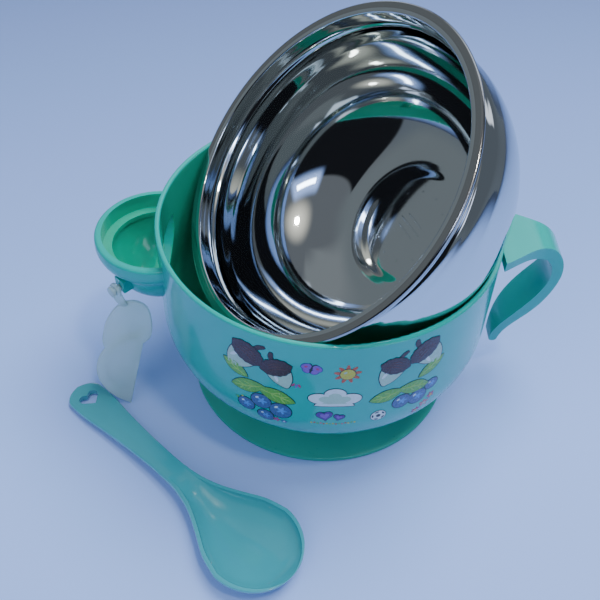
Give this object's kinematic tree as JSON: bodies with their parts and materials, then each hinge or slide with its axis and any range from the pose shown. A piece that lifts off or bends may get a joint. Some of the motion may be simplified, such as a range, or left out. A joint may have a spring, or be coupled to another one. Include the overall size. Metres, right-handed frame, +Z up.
{
  "type": "toddler suction bowl",
  "caption": "Double-walled feeding bowl: plastic hot-water shell on a suction base, with a hooked handle, a filling port with a tethered stopper, a lift-out steel bowl and a spoon.",
  "frame": {"origin": "on the table, at the middle of the suction base's lip", "axes": "+Z up, +X towards the handle, -X towards the filling port, -Y towards the decorated front"},
  "size_m": [0.2034, 0.1843, 0.1586],
  "materials": {
    "shell_plastic": "glossy moulded polypropylene",
    "base_rubber": "satin soft thermoplastic rubber",
    "hidden_plastic": "as moulded",
    "polished_steel": "mirror-polished stainless steel with a satin rolled rim",
    "clear_silicone": "translucent moulded silicone",
    "spoon_plastic": "glossy moulded polypropylene"
  },
  "bodies": {
    "shell": {"outer_shell": "shell_plastic", "suction_cup": "base_rubber", "cup_retainer": "hidden_plastic", "strap_pin": "clear_silicone"},
    "bowl": {"inner_bowl": "polished_steel"},
    "plug": {"plug_strap": "clear_silicone", "fill_plug": "clear_silicone"},
    "spoon": {"spoon": "spoon_plastic"}
  },
  "joints": [
    {"name": "bowl_lift", "type": "slide", "parent": "shell", "child": "bowl", "axis": [0, 0, 1], "range_m": [0, 0.07]},
    {"name": "plug_swing", "type": "hinge", "parent": "shell", "child": "plug", "pos_m": [-0.0826, -0.0203, 0.0648], "axis": [0.7071, 0.7071, 0], "range_deg": [-15, 65]},
    {"name": "spoon_lift", "type": "slide", "parent": "shell", "child": "spoon", "axis": [-0.5, -0.5, 0.7071], "range_m": [0, 0.06]}
  ]
}
